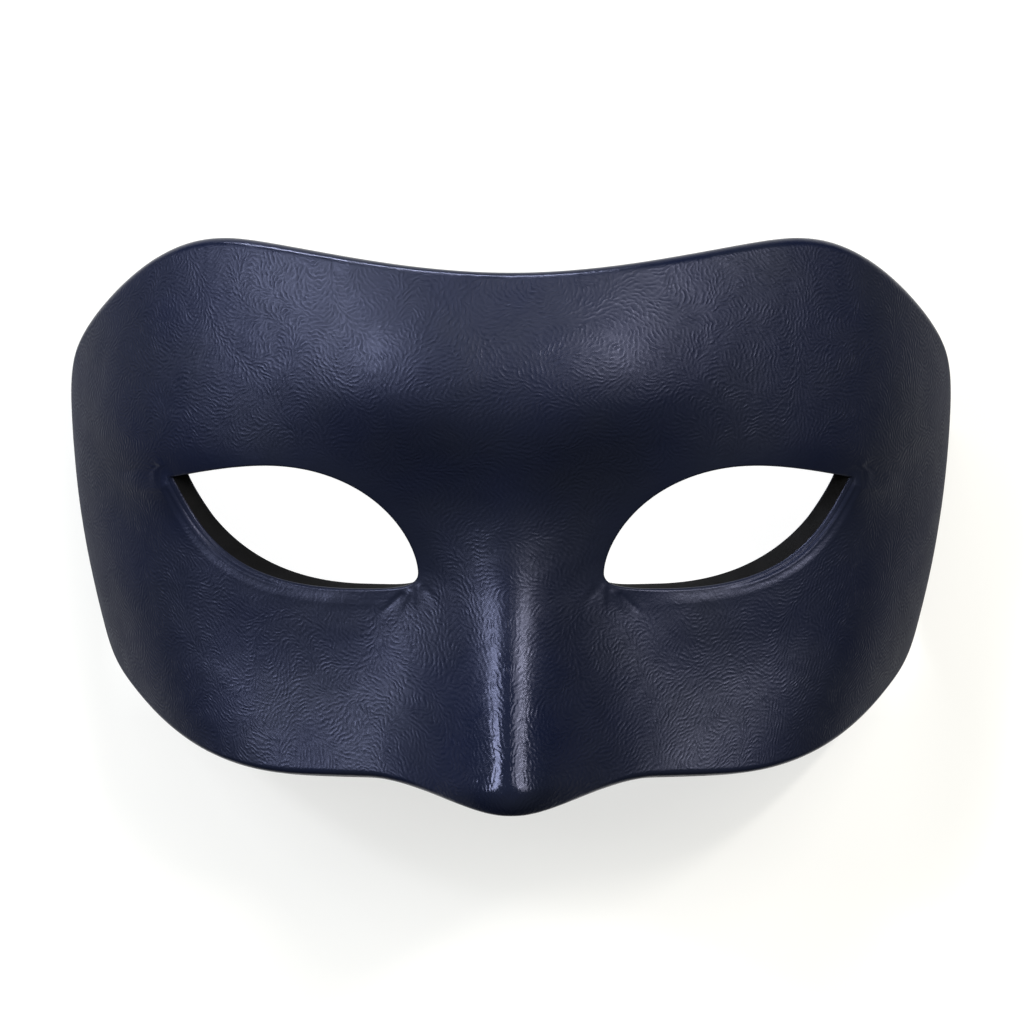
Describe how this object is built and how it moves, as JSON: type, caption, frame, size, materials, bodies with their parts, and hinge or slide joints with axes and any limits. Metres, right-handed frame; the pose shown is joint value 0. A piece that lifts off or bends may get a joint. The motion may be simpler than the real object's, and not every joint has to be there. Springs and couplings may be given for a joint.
{
  "type": "leather masquerade mask",
  "caption": "Half mask of thick moulded leather for brow, eyes, cheeks and nose, with almond eye openings, lying on its temple edges.",
  "frame": {"origin": "on the table, under the middle of the bounding box, with the mask lying on its two temple edges", "axes": "+X across the face, to the right as seen from in front; +Y towards the forehead; +Z out of the face"},
  "size_m": [0.18, 0.1103, 0.0706],
  "materials": {
    "navy_leather": "dyed navy, fine grain, satin; plainer and darker on the inside and on the cut edges"
  },
  "bodies": {
    "root": {"leather_shell": "navy_leather"}
  },
  "joints": []
}
